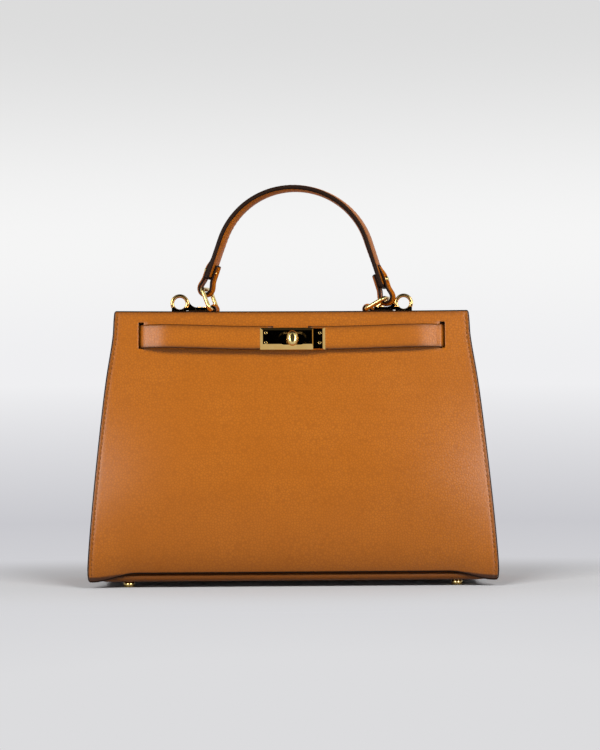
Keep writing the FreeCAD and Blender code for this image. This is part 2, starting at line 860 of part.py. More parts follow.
def handle_loop(leg):
    """Leather strip round a ring's upper bar with its tails on both faces of the strap."""
    inner_radius = ring_wire_radius + handle_loop_play
    rows = [
        loop_outline(leg, inner_radius + handle_loop_ply, strap_half + handle_loop_ply),
        loop_outline(leg, inner_radius, strap_half),
    ]
    edges = []
    for row in rows:
        edges.append(Part.LineSegment(row[0], row[1]).toShape())
        edges.append(Part.LineSegment(row[1], row[2]).toShape())
        edges.append(Part.Arc(row[2], row[3], row[4]).toShape())
        edges.append(Part.LineSegment(row[4], row[5]).toShape())
        edges.append(Part.LineSegment(row[5], row[6]).toShape())
    edges.append(Part.LineSegment(rows[0][0], rows[1][0]).toShape())
    edges.append(Part.LineSegment(rows[0][-1], rows[1][-1]).toShape())
    return across_strap(Part.Face(Part.Wire(Part.sortEdges(edges)[0])), handle_loop_width)


def rivet_head(base, rise):
    """Low domed head that stands on a strap's face."""
    head = rod(handle_rivet_head_radius, base, base + rise)
    crest = [edge for edge in head.Edges if (edge.CenterOfMass - base).dot(rise) > rise.dot(rise) / 2]
    rims = [edge for edge in crest if len(edge.Vertexes) == 1]
    return head.makeFillet(handle_rivet_edge_radius, rims)


def handle_rivet(leg):
    face = strap_half + handle_loop_ply
    inner = leg.square(handle_rivet_reach, -face)
    outer = leg.square(handle_rivet_reach, face)
    shank = rod(handle_rivet_radius, inner, outer)
    head = rivet_head(outer, leg.normal * handle_rivet_head_height)
    tail = rod(handle_rivet_tail_radius, inner - leg.normal * handle_rivet_tail_height, inner)
    return shank.fuse([head, tail]).removeSplitter()


def handle_parts():
    legs = (left_leg, right_leg)
    face = strap_half + handle_loop_ply + overrun
    holes = []
    for leg in legs:
        start = leg.square(handle_rivet_reach, -face)
        end = leg.square(handle_rivet_reach, face)
        holes.append(rod(handle_rivet_radius + hole_clearance, start, end))
    core_half = handle_core_thickness / 2
    return {
        "left_handle_ring": handle_ring(-1, left_ring_angle),
        "right_handle_ring": handle_ring(1, right_ring_angle),
        "handle_upper": strap_ply(core_half, strap_half).cut(holes),
        "handle_core": strap_ply(-core_half, core_half).cut(holes),
        "handle_lower": strap_ply(-strap_half, -core_half).cut(holes),
        "left_handle_loop": handle_loop(left_leg).cut(holes),
        "right_handle_loop": handle_loop(right_leg).cut(holes),
        "handle_rivets": Part.makeCompound([handle_rivet(leg) for leg in legs]),
    }


def main():
    os.makedirs("parts", exist_ok=True)
    for group in (shell_parts, base_parts, belt_parts, lock_parts, flap_parts, handle_parts):
        for node, shape in group().items():
            shape.exportStep("parts/" + node + ".step")


main()
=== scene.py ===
"""Top handle bag: leather, thread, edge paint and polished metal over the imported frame."""
import math

import bpy
import numpy as np
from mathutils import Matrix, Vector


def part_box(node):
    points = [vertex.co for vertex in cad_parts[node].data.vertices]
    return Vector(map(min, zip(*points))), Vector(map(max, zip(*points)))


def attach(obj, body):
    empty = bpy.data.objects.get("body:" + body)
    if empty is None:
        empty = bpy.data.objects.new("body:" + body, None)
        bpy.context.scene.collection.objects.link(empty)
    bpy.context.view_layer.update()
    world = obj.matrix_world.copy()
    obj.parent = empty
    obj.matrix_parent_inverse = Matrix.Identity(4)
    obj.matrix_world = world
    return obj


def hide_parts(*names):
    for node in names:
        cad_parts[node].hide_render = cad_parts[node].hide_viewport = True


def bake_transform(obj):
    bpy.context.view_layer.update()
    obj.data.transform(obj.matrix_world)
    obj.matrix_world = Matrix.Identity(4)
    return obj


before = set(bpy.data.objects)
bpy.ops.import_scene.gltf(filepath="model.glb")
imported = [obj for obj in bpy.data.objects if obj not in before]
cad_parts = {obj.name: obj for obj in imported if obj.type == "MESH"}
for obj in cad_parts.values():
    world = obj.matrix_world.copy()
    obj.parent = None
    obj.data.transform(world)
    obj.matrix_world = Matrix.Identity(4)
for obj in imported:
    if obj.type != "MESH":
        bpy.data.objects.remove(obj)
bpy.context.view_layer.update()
MM = 0.001


# Measures taken from the frame, and the few that the solids don't carry by themselves

front_low, front_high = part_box("front_panel")
panel_corner = front_low.z
panel_top = front_high.z
panel_half_low = front_high.x
panel_half_high = 145 * MM
panel_widest = 15 * MM
panel_thickness = 2.4 * MM
panel_arch = 6.6 * MM
panel_arch_start = 3 * MM
panel_arch_end = 39 * MM
base_half_depth = 55 * MM
top_half_depth = 28 * MM
lean = math.atan((base_half_depth - top_half_depth) / panel_top)
back_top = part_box("back_panel")[1].z
flap_low, flap_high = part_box("top_flap")
lip_low, lip_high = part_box("flap_lip")
gusset_low, gusset_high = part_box("right_gusset")
base_low, base_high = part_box("base_panel")
knob_low, knob_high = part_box("lock_knob")
belt_middle = (knob_low.z + knob_high.z) / 2
handle_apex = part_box("handle_upper")[1].z
skew = math.radians(15)
across = np.array([math.sin(skew), math.cos(skew), 0.0])
both_sides = (("left", -1), ("right", 1))


def outer_depth(z):
    """Half depth of the bag's outer face: it narrows evenly from the floor to the panel's top."""
    return base_half_depth - z * math.tan(lean)


def spread_points(x, y, z):
    """Points from coordinates that are carried over each other's rows and columns."""
    return np.stack(np.broadcast_arrays(x, y, z), axis=-1)


def on_panel(side, x, z, out):
    """Points on a leaning panel: x across and z up its flat outer face, then a distance out from that face.

    side is -1 for the front and 1 for the back.
    """
    y = side * (outer_depth(z) + out * math.cos(lean))
    return spread_points(x, y, z + out * math.sin(lean))


# Finishes

def srgb(code):
    """Linear colour of an sRGB hex value."""
    parts = np.array([int(code[i:i + 2], 16) for i in (1, 3, 5)]) / 255
    linear = np.where(parts <= 0.04045, parts / 12.92, ((parts + 0.055) / 1.055) ** 2.4)
    return (*linear.tolist(), 1.0)


def add(tree, kind, inputs=None, **settings):
    """Add a shader node: settings are its own options, inputs give each socket a value or a link."""
    node = tree.nodes.new("ShaderNode" + kind)
    for name, value in settings.items():
        setattr(node, name, value)
    for socket, value in (inputs or {}).items():
        if isinstance(value, bpy.types.NodeSocket):
            tree.links.new(value, node.inputs[socket])
        else:
            node.inputs[socket].default_value = value
    return node


def start_finish(name):
    """New node material with its tree emptied, and the object's own coordinates in it."""
    finish = bpy.data.materials.new(name)
    finish.use_nodes = True
    tree = finish.node_tree
    tree.nodes.clear()
    return finish, tree, add(tree, "TexCoord").outputs["Object"]


def per_metre(size):
    """Texture scale whose cells are that size in millimetres."""
    return 1 / (size * MM)


def noise(tree, place, size, detail):
    """Cloudy noise whose cells are that size in millimetres."""
    sockets = {"Vector": place, "Scale": per_metre(size), "Detail": detail}
    return add(tree, "TexNoise", sockets).outputs["Fac"]


def between(tree, share, low, high):
    """Colour between two, each an sRGB hex value or a link."""
    low, high = (srgb(shade) if isinstance(shade, str) else shade for shade in (low, high))
    return add(tree, "Mix", {0: share, 6: low, 7: high}, data_type="RGBA").outputs[2]


def ranged(tree, value, low, high):
    """A value of 0 to 1 spread evenly over a range."""
    return add(tree, "MapRange", {"Value": value, "To Min": low, "To Max": high}).outputs["Result"]


def stepped(tree, value, low, high, to_low=0.0, to_high=1.0):
    """Smooth step of a value between two levels."""
    sockets = {"Value": value, "From Min": low, "From Max": high, "To Min": to_low, "To Max": to_high}
    return add(tree, "MapRange", sockets, interpolation_type="SMOOTHSTEP").outputs["Result"]


def bumps(tree, height, strength, depth, **under):
    """Normals of a height that many millimetres deep, on top of any others."""
    sockets = {"Height": height, "Strength": strength, "Distance": depth * MM, **under}
    return add(tree, "Bump", sockets).outputs["Normal"]


def coat(finish, sockets):
    """Finish with a principled surface as its output."""
    shader = add(finish.node_tree, "BsdfPrincipled", sockets)
    add(finish.node_tree, "OutputMaterial", {"Surface": shader.outputs["BSDF"]})
    return finish


def grained_calf(name, gloss):
    """Full grain calf, drum dyed tan, pressed with a fine grain under a thin satin finish.

    The eye gets a warm, deep tan with faint clouding, small soft pebbles with slightly darker valleys, a
    broad soft highlight where the skin turns towards a light, and a darker, oiled band beside painted edges.
    The same dark colour, read from the same band, is painted shade along the panels' lower hems and over the
    base tray.
    """
    finish, tree, place = start_finish(name)
    clouds = noise(tree, place, 38, 3.0)
    tan = between(tree, clouds, "#AF610E", "#BE6E13")
    # The pressed pebbles are about a millimetre, too fine for a pixel, so they are drawn twice as large
    pebbles = add(tree, "TexVoronoi", {
        "Vector": place, "Scale": per_metre(2.2), "Randomness": 0.9,
    }, feature="DISTANCE_TO_EDGE")
    tops = stepped(tree, pebbles.outputs["Distance"], 0.0, 0.22)
    pebbled = between(tree, tops, "#A75D0D", tan)
    # The band's dark colour is oil beside painted edges, and painted shade on the lower hems and the base
    # tray
    oil_and_shade = add(tree, "Attribute", attribute_name="oil_and_shade_band").outputs["Fac"]
    pores = bumps(tree, noise(tree, place, 0.5, 2.0), 0.10, 0.05)
    return coat(finish, {
        "Base Color": between(tree, oil_and_shade, pebbled, "#3A1C07"), "Roughness": ranged(tree, clouds, 0.31, 0.38),
        "Normal": bumps(tree, tops, 0.2, 0.12, Normal=pores), "IOR": 1.45, "Specular IOR Level": gloss,
    })


def edge_paint():
    """Acrylic edge paint, brushed in several coats over a sanded leather edge.

    The eye gets a thin, nearly black brown bead with a dull shine and faint brush ripples.
    """
    finish, tree, place = start_finish("dark_brown_edge_paint")
    ripple = noise(tree, place, 2.5, 2.0)
    return coat(finish, {
        "Base Color": between(tree, ripple, "#170B05", "#2A1609"), "Roughness": 0.5,
        "Normal": bumps(tree, ripple, 0.25, 0.15), "Specular IOR Level": 0.12,
    })


def napped_suede():
    """Split leather, dyed brown and brushed to a short nap, for the lining and flesh sides.

    The eye gets a matt, warm brown with soft light and dark strokes and no highlight.
    """
    finish, tree, place = start_finish("brown_napped_suede")
    strokes = noise(tree, place, 14, 4.0)
    nap = noise(tree, place, 0.8, 2.0)
    return coat(finish, {
        "Base Color": between(tree, strokes, "#7A4D29", "#9C6A3E"), "Roughness": 0.92,
        "Normal": bumps(tree, nap, 0.35, 0.2), "Sheen Weight": 0.35, "Sheen Roughness": 0.5,
    })


def waxed_thread():
    """Linen thread, three strands twisted and waxed, a shade darker than the leather.

    The eye gets short, slightly shiny stitches with a slanting twist.
    """
    finish, tree, place = start_finish("waxed_linen_thread")
    # A wave texture's bands lie tau / 10 apart at a scale of 1
    twist = add(tree, "TexWave", {
        "Vector": place, "Scale": per_metre(0.7) * math.tau / 10, "Distortion": 1.5,
    }, bands_direction="DIAGONAL").outputs["Fac"]
    return coat(finish, {
        "Base Color": between(tree, twist, "#7A4210", "#96591B"), "Roughness": 0.7,
        "Normal": bumps(tree, twist, 0.3, 0.1), "IOR": 1.4,
    })


def plated_brass(name, shades, roughness):
    """Brass castings, wire and plates, polished, then plated in pale gold of two shades.

    The eye gets a mirror, or on rubbed round pieces a softer glow, that shows dark and bright bands, with
    faint cloudy wear and hairline scratches.
    """
    finish, tree, place = start_finish(name)
    wear = noise(tree, place, 6, 4.0)
    lines = add(tree, "Mapping", {"Vector": place, "Scale": (1.0, 1.0, 14.0)}).outputs["Vector"]
    scratches = noise(tree, lines, 1.6, 2.0)
    return coat(finish, {
        "Base Color": between(tree, wear, *shades), "Roughness": ranged(tree, wear, *roughness),
        "Normal": bumps(tree, scratches, 0.04, 0.05), "Metallic": 1.0,
    })


def pressed_board():
    """Leather fibre board, rolled from shavings, that stiffens the base.

    The eye gets a dull brown sheet with short pale and dark fibres.
    """
    finish, tree, place = start_finish("leather_fibre_board")
    laid = add(tree, "Mapping", {"Vector": place, "Scale": (0.25, 1.0, 1.0)}).outputs["Vector"]
    fibres = noise(tree, laid, 1.5, 5.0)
    return coat(finish, {
        "Base Color": between(tree, fibres, "#5E4630", "#94765A"), "Roughness": 0.85,
        "Normal": bumps(tree, fibres, 0.3, 0.2),
    })


calf = grained_calf("grained_tan_calf", 0.4)
rubbed_calf = grained_calf("rubbed_tan_calf", 0.04)
paint = edge_paint()
suede = napped_suede()
thread = waxed_thread()
gold = plated_brass("polished_gold_plated_brass", ("#D9AE62", "#E8C684"), (0.03, 0.08))
worn_gold = plated_brass("worn_gold_plated_brass", ("#E3C070", "#F0DA98"), (0.14, 0.22))
board = pressed_board()


# Ways of making a piece

edge_offsets = np.array([0, 0.7, 1.5, 2.3, 2.9, 3.5, 4.2, 5.4, 7.2]) * MM
edge_reach = edge_offsets[-1]
seam_step = 4
round_over = 0.3 * MM
bead_steps = 5
band_reach = 1.6 * MM


def spread(length, step):
    """Offsets along a length: even, but closer near both ends, where edges are rounded and sewn."""
    run = length - 2 * edge_reach
    even = np.linspace(0, run, max(2, round(run / step)) + 1)[1:-1] + edge_reach
    return np.concatenate([edge_offsets, even, length - edge_offsets[::-1]])


def spline_weights(controls, samples, degree=3):
    """Share of each control point in each sample of a clamped B-spline, by the Cox-de Boor recursion."""
    inner = np.linspace(0, 1, controls - degree + 1)
    knots = np.concatenate([np.zeros(degree), inner, np.ones(degree)])
    t = np.linspace(0, 1 - 1e-9, samples)[:, None]
    weights = ((knots[:-1] <= t) & (t < knots[1:])).astype(float)
    for order in range(1, degree + 1):
        low_span = knots[order:-1] - knots[:-order - 1]
        high_span = knots[order + 1:] - knots[1:-order]
        rising = (t - knots[:-order - 1]) / np.where(low_span > 0, low_span, np.inf)
        falling = (knots[order + 1:] - t) / np.where(high_span > 0, high_span, np.inf)
        weights = rising * weights[:, :-1] + falling * weights[:, 1:]
    return weights


def smooth_path(points, samples):
    """Soft curve that starts and ends on the outer points and cuts inside the others."""
    points = np.asarray(points, float)
    return spline_weights(len(points), samples) @ points


def share_between(value, low, high):
    """Even rise from 0 at low to 1 at high."""
    return np.clip((value - low) / (high - low), 0, 1)


def rise_between(value, low, high):
    """Smooth step from 0 at low to 1 at high."""
    t = share_between(value, low, high)
    return t * t * (3 - 2 * t)


def walked(path):
    """Distance along a path at each of its points."""
    return np.concatenate([[0], np.cumsum(np.linalg.norm(np.diff(path, axis=0), axis=1))])


def quads(rows, columns):
    """Corner numbers of each square of a grid of points that is numbered row by row."""
    number = np.arange(rows * columns).reshape(rows, columns)
    return np.stack([number[:-1, :-1], number[:-1, 1:], number[1:, 1:], number[1:, :-1]], axis=-1)


def unit(vectors):
    return vectors / np.maximum(np.linalg.norm(vectors, axis=-1, keepdims=True), 1e-12)


def surface_normals(points):
    """Unit normals of a grid surface: the way along its columns crossed with the way along its rows."""
    return unit(np.cross(np.gradient(points, axis=1), np.gradient(points, axis=0)))


def edge_distance(points):
    """Distance of each grid point from the nearest of the grid's four sides, along the grid lines."""
    nearest = []
    for axis in (0, 1):
        steps = np.linalg.norm(np.diff(points, axis=axis), axis=-1)
        along = np.insert(np.cumsum(steps, axis=axis), 0, 0, axis=axis)
        nearest.append(np.minimum(along, along.max(axis=axis, keepdims=True) - along))
    return np.minimum(nearest[0], nearest[1])


def put_mesh(name, points, faces, finishes, finish_numbers=None, band=None):
    """Smooth-shaded object at the origin from arrays of points and faces."""
    mesh = bpy.data.meshes.new(name)
    mesh.from_pydata(points.tolist(), [], faces if isinstance(faces, list) else faces.tolist())
    for finish in finishes:
        mesh.materials.append(finish)
    if finish_numbers is not None:
        mesh.polygons.foreach_set("material_index", finish_numbers.astype(np.int32))
    mesh.polygons.foreach_set("use_smooth", np.ones(len(faces), bool))
    # Band for the leather's dark colour: oil beside the edges, and painted shade where given
    if band is not None:
        mesh.attributes.new("oil_and_shade_band", "FLOAT", "POINT").data.foreach_set("value", band.astype(np.float32))
    mesh.update()
    piece = bpy.data.objects.new(name, mesh)
    bpy.context.scene.collection.objects.link(piece)
    return piece


def side_mask(rows, columns, sides):
    """Mask of a grid's outermost places on those of its low, high, bottom and top sides."""
    mask = np.zeros((rows, columns), bool)
    for side, line in zip("lhbt", (np.s_[:, 0], np.s_[:, -1], np.s_[0], np.s_[-1])):
        mask[line] |= side in sides
    return mask


def cut_sheet(
    name, points, thickness, finishes, kept=None, painted_sides="lhbt", joined="", bulge=0.35 * MM, painted_shade=0.0,
):
    """A piece cut from sheet. The grid is its face, and its back is the grid moved in along the normals.

    Every free edge of the face and back is rounded over, and a half-round wall joins them: it goes from
    face to back as 1 - cos of an angle and stands out by its sine. The face, the back, and the walls with
    the painted squares take the three finishes, and a back like the face is painted like it. The oiled band
    beside the edges fades as e to minus the distance, and is raised to the painted shade where one is given.
    A joined side, which goes on into another piece, stays square and unpainted.
    """
    rows, columns = points.shape[:2]
    count = rows * columns
    normals = surface_normals(points).reshape(-1, 3)
    face = points.reshape(-1, 3)
    back = face - normals * np.broadcast_to(thickness, (rows, columns)).reshape(-1, 1)
    squares = quads(rows, columns)
    kept = np.ones(squares.shape[:2], bool) if kept is None else kept
    painted = side_mask(rows - 1, columns - 1, set(painted_sides) - set(joined))
    rounded = ~side_mask(rows, columns, joined).reshape(-1, 1)
    used = squares[kept]
    starts = used.ravel()
    ends = np.roll(used, -1, axis=1).ravel()
    free = ~np.isin(starts * count + ends, ends * count + starts)
    starts, ends = starts[free], ends[free]
    outward = np.zeros((count, 3))
    sideways = unit(np.cross(face[ends] - face[starts], normals[starts]))
    np.add.at(outward, starts, sideways)
    np.add.at(outward, ends, sideways)
    rim = np.unique(starts)
    face = face.copy()
    face[rim] -= normals[rim] * round_over * rounded[rim]
    back[rim] += normals[rim] * round_over * rounded[rim]
    place = np.zeros(count, int)
    place[rim] = np.arange(len(rim))
    turn = np.linspace(0, np.pi, bead_steps)[1:-1, None, None]
    through = (1 - np.cos(turn)) / 2
    stand = unit(outward[rim]) * bulge * rounded[rim]
    rings = face[rim] + (back[rim] - face[rim]) * through + stand * np.sin(turn)
    numbers = np.concatenate([
        rim[None],
        2 * count + np.arange((bead_steps - 2) * len(rim)).reshape(bead_steps - 2, -1),
        count + rim[None],
    ])
    a, b = place[starts], place[ends]
    walls = np.stack([numbers[:-1, b], numbers[:-1, a], numbers[1:, a], numbers[1:, b]], axis=-1)
    walls = walls.reshape(-1, 4)
    faces = np.concatenate([used, used[:, ::-1] + count, walls])
    painted_back = painted[kept] & (finishes[0] == finishes[1])
    finish_numbers = np.concatenate([
        np.where(painted[kept], 2, 0), np.where(painted_back, 2, 1), np.full(len(walls), 2),
    ])
    # Oil beside the edges, raised to the painted shade where one is given
    band = np.maximum(np.exp(-edge_distance(points) / band_reach), painted_shade).ravel()
    all_points = np.concatenate([face, back, rings.reshape(-1, 3)])
    all_bands = np.concatenate([band, np.zeros(count + rings.shape[0] * rings.shape[1])])
    numbers_used, faces = np.unique(faces, return_inverse=True)
    faces = faces.reshape(-1, 4)
    return put_mesh(name, all_points[numbers_used], faces, finishes, finish_numbers, all_bands[numbers_used])


# One stitch: five six-sided rings, thin and sunk at the ends, full and raised in the middle
stitch_along = np.array([-0.5, -0.36, 0.0, 0.36, 0.5])
stitch_girth = np.array([0.35, 0.9, 1.0, 0.9, 0.35])
stitch_lift = np.array([-0.7, 0.1, 0.35, 0.1, -0.7])
stitch_sides = 6
stitch_pitch = 4.1 * MM
stitch_length = 3.1 * MM
stitch_radius = 0.36 * MM
stitch_slant = math.radians(9)


def sew(name, seams, sunk=0):
    """Rows of saddle stitches, at even distances along each seam, which is a path with its normals.

    A stitch is the ring template stretched along the path, turned a little in the surface and lifted off it,
    less the depth to which the seam is sunk.
    """
    around = np.arange(stitch_sides)
    turn = (around * math.tau / stitch_sides)[:, None]
    following = np.roll(around, -1)
    ring = np.arange(len(stitch_along) - 1)[:, None] * stitch_sides
    far = ring + stitch_sides
    tube = np.stack([ring + around, ring + following, far + following, far + around], axis=-1).reshape(-1, 4)
    cap = np.array([[0, 1, 2, 3], [0, 3, 4, 5]])
    stitch_faces = np.concatenate([tube, cap[:, ::-1], cap + far[-1]])
    stitches = []
    for path, normals in seams:
        along = walked(path)
        spots = np.arange(stitch_pitch / 2, along[-1], stitch_pitch)
        middle, up, ahead = (
            np.stack([np.interp(spots, along, values[:, k]) for k in range(3)], axis=1)
            for values in (path, normals, np.gradient(path, axis=0))
        )
        up, ahead = unit(up), unit(ahead)
        beside = np.cross(up, ahead)
        run = ahead * math.cos(stitch_slant) + beside * math.sin(stitch_slant)
        wide = np.cross(up, run)
        reach = (stitch_along * stitch_length)[:, None, None]
        girth = (stitch_girth * stitch_radius)[:, None, None]
        lift = (stitch_lift * stitch_radius - sunk)[:, None, None]
        stitches.append(
            middle[:, None, None]
            + run[:, None, None] * reach
            + wide[:, None, None] * girth * np.cos(turn)
            + up[:, None, None] * (girth * np.sin(turn) + lift)
        )
    stitches = np.concatenate(stitches)
    first = np.arange(len(stitches))[:, None, None] * len(stitch_along) * stitch_sides
    return put_mesh(name, stitches.reshape(-1, 3), (stitch_faces + first).reshape(-1, 4), [thread])


def finish_piece(piece, body, *nodes, slot="tan_leather"):
    """Let a piece ride on a body and stand for the solids that it replaces. The slot argument is not used."""
    if body:
        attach(piece, body)
    if nodes:
        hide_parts(*nodes)
    return piece


# Front and back panels

slot_middle = 123.5 * MM
slot_half = 2.1 * MM
slot_reach = 10.75 * MM
slot_level = belt_middle + 2.75 * MM
lip_width = 0.7 * MM
straight_half = 129 * MM
corner_radius = 1.6 * MM
seam_inset = edge_offsets[seam_step]
top_dip = 0.6 * MM
belly_swell = 5 * MM
hem_rise = 0.5 * MM
# Painted shade along the panels' lower hems, deepest in a band at the corners
hem_dark = 0.52
hem_band = 0.6 * MM
corner_band = 4 * MM
hem_reach = 14 * MM
side_swell = 1.3 * MM
corner_draw = 1.2 * MM
belt_pull = 1.2 * MM
belt_pull_reach = 24 * MM
side_power = 1.3
grid_step = 4 * MM
line_room = 1.2 * MM
arch_fade_start = 10 * MM
arch_fade_end = 70 * MM
dip_start = 50 * MM
dip_end = 8 * MM
ripple_depth = 0.35 * MM
corner_curl = 0.9 * MM
groove_depth = 0.14 * MM
groove_half = 1 * MM


def panel_half(z):
    """Half width of a panel: widest a little above the floor, then drawing in as a power of the height.

    It draws in below the widest level as the square of the depth, and a little where the belt pulls on it.
    """
    share = share_between(z, panel_widest, panel_top)
    below = share_between(z, panel_widest, panel_corner)
    pull = belt_pull * np.exp(-((z - belt_middle) / belt_pull_reach) ** 2) * rise_between(1 - share, 0, 0.1)
    widest = panel_half_low + side_swell
    return widest + (panel_half_high - widest) * share ** side_power - corner_draw * below ** 2 - pull


def with_slot(values, middle, half):
    """Grid offsets with a slot's edges and lips added, and their close neighbours dropped to make room."""
    lines = middle + np.array([-half - lip_width, -half, half, half + lip_width])
    gaps = np.abs(values[:, None] - lines[None]).min(axis=1)
    return np.sort(np.concatenate([values[gaps > line_room], lines]))


def leaning_pattern(half, low, high, arch=0, dip=0, slotted=False, round_top=True):
    """Flat pattern of a panel: arrays of x and z, the offsets across and up, and its distance from each side.

    Columns are upright lines out to a fixed half width and then follow the side edges. Rows follow the
    arched lower edge, which rises from each corner by a smooth step and then runs level, and the upper edge,
    which dips as 1 - x^2. Square corners become quarter circles by scaling each corner distance p with
    sqrt(1 - q^2 / 2).
    """
    length = high - low
    widest = half(np.array(high))
    inner = widest - edge_reach
    run = np.arange(0, straight_half, grid_step)
    rows = spread(length, grid_step)
    if slotted:
        run = with_slot(run, slot_middle, slot_half)
        rows = with_slot(rows, slot_level - low, slot_reach)
    beyond = np.linspace(straight_half, inner, 8)[:-1]
    right = np.concatenate([run, beyond, widest - edge_offsets[::-1]])
    columns = np.concatenate([-right[:0:-1], right])
    width = half(low + rows)[:, None]
    reach = np.abs(columns)
    outward = (reach - straight_half) / (inner - straight_half)
    stretched = straight_half + outward * (width - edge_reach - straight_half)
    x = np.where(reach <= straight_half, reach, np.where(reach <= inner, stretched, width - (widest - reach)))
    share = reach / widest
    arched = rise_between(width - x, panel_arch_start, panel_arch_end)
    lift = arch * arched * (1 - rise_between(rows, arch_fade_start, arch_fade_end))[:, None]
    sink = dip * (1 - share ** 2) * rise_between(rows, length - dip_start, length - dip_end)[:, None]
    z = low + rows[:, None] + lift - sink
    to_side = width - x
    to_end = (np.minimum(rows, length - rows) if round_top else rows)[:, None]
    p = np.clip(1 - to_side / corner_radius, 0, 1)
    q = np.clip(1 - to_end / corner_radius, 0, 1)
    x = x - corner_radius * p * (1 - np.sqrt(1 - q ** 2 / 2))
    towards_middle = np.where(rows < length / 2, 1, -1)[:, None]
    z = z + towards_middle * corner_radius * q * (1 - np.sqrt(1 - p ** 2 / 2))
    return np.sign(columns) * x, z, columns, rows, to_side


def slot_holes(columns, rows, low):
    """Mask of a grid's squares inside the two belt slots."""
    across_middle = np.abs((columns[:-1] + columns[1:]) / 2) - slot_middle
    up_middle = low + (rows[:-1] + rows[1:]) / 2 - slot_level
    return (np.abs(across_middle) < slot_half) & (np.abs(up_middle) < slot_reach)[:, None]


def panel_swell(x, z, to_side):
    """How far a panel stands out from flat: low belly, slack ripples, curled lower corners and sewn grooves.

    The belly is 1 - x^4 across and rises then falls smoothly upwards, so that the panel is flat at the lock.
    The curl goes as x^8, and each groove as e to minus the square of the distance from its seam.
    """
    share = share_between(z, panel_corner, panel_top)
    sideways = x / panel_half(z)
    soft = rise_between(share, 0, 0.36) * (1 - rise_between(share, 0.36, 0.82))
    belly = belly_swell * (1 - sideways ** 4) * soft
    ripple = ripple_depth * np.sin(31 * x + 1.3) * np.sin(43 * z + 0.4) * soft
    curl = corner_curl * np.abs(sideways) ** 8 * (1 - rise_between(share, 0, 0.25))
    groove = groove_depth * np.exp(-((to_side - seam_inset) / groove_half) ** 2)
    return belly + ripple + curl - groove


def hem_painted_shade(rows, to_side):
    """Painted shade, darker towards a panel's lower edge: e to minus the height above that edge.

    A dark band of painted shade runs along the edge itself, and deepens by a smooth step towards the corners.
    """
    height = rows[:, None]
    band = corner_band + (hem_band - corner_band) * rise_between(to_side, panel_arch_start, panel_arch_end)
    return np.maximum(hem_dark * np.exp(-height / hem_reach), 1 - rise_between(height / band, 0.7, 1.3))


fold_low = back_top - 7 * MM
panel_hem = panel_corner + hem_rise
x, z, columns, rows, to_side = leaning_pattern(
    panel_half, panel_hem, panel_top, panel_arch, top_dip, slotted=True,
)
hole = slot_holes(columns, rows, panel_hem)
front_face = on_panel(-1, x, z, panel_swell(x, z, to_side))
# The front panel's lower hem and corners take painted shade
front = cut_sheet(
    "front_panel_leather", front_face, panel_thickness, (calf, suede, paint),
    kept=~hole, painted_shade=hem_painted_shade(rows, to_side),
)
finish_piece(front, "shell", "front_panel")

x, z, columns, rows, to_side = leaning_pattern(panel_half, panel_hem, fold_low, panel_arch, round_top=False)
back_face = on_panel(1, x, z, panel_swell(x, z, to_side))[:, ::-1]
# The back panel's lower hem and corners take painted shade
back = cut_sheet(
    "back_panel_leather", back_face, panel_thickness, (calf, suede, paint), joined="t",
    painted_shade=hem_painted_shade(rows, to_side)[:, ::-1],
)
finish_piece(back, "shell", "back_panel")


def seam(points, column, first, last):
    """Path and normals for stitches along one column of a grid, between two rows."""
    normals = surface_normals(points)
    return points[first:last, column], normals[first:last, column]


panel_stitches = sew("panel_stitching", [
    seam(front_face, seam_step, 6, -4), seam(front_face, -1 - seam_step, 6, -4),
    seam(back_face, seam_step, 6, None), seam(back_face, -1 - seam_step, 6, None),
])
finish_piece(panel_stitches, "shell")


# Folded gussets

gusset_thickness = 1.8 * MM
gusset_setback = 2.5 * MM
gusset_flange = 8 * MM
gusset_fold_low = 1.5 * MM
gusset_fold_high = 30 * MM
gusset_fold_power = 1.15
gusset_tuck = 6 * MM
gusset_slack = 2.2 * MM


def gusset_face(side):
    """Outer face of a gusset: a flange behind each panel's side, and a web that folds in towards the top.

    Each height has the same control points, from the front flange's edge to the back one's, and a B-spline
    through them gives the soft corners and the rounded inward fold.
    """
    height = gusset_high.z - gusset_low.z
    z = gusset_low.z - gusset_tuck + spread(height + gusset_tuck, 5 * MM)
    share = share_between(z, gusset_low.z, gusset_high.z)
    edge = panel_half(z) - gusset_setback
    root = edge - gusset_flange
    fold = gusset_fold_low + (gusset_fold_high - gusset_fold_low) * share ** gusset_fold_power
    leg = outer_depth(z) - panel_thickness / math.cos(lean) - gusset_thickness
    slack = gusset_slack * np.sin(np.pi * share)
    x_controls = [
        edge, edge - 2 * MM, edge - 5 * MM, root + 0.6 * MM, root - 0.2 * MM, root - fold * 0.30 + slack,
        root - fold * 0.74 + slack, root - fold - 1.4 * MM, root - fold - 1.4 * MM,
    ]
    y_controls = [leg, leg, leg, leg, leg - 2.2 * MM, leg * 0.66, leg * 0.26, leg * 0.05, 0 * leg]
    x_controls = np.stack(x_controls + x_controls[-2::-1], axis=1)
    y_controls = np.stack([-y for y in y_controls] + y_controls[-2::-1], axis=1)
    weights = spline_weights(x_controls.shape[1], 61)
    x = x_controls @ weights.T
    y = y_controls @ weights.T
    points = spread_points(side * x, y, z[:, None])
    return points if side > 0 else points[:, ::-1]


for name, side in both_sides:
    face = gusset_face(side)
    gusset = cut_sheet(name + "_gusset_leather", face, gusset_thickness, (calf, suede, paint))
    finish_piece(gusset, "shell", name + "_gusset")


# Base tray

base_thickness = 2 * MM
tray_corner = 6 * MM
tray_roll = 3.6 * MM
tray_recess = 2 * MM
recess_low = 12.5 * MM
recess_high = 15 * MM
recess_end = 20 * MM
# Share of the dark band colour over the whole base tray: painted shade for its place under the panels
tray_painted_shade = 0.62


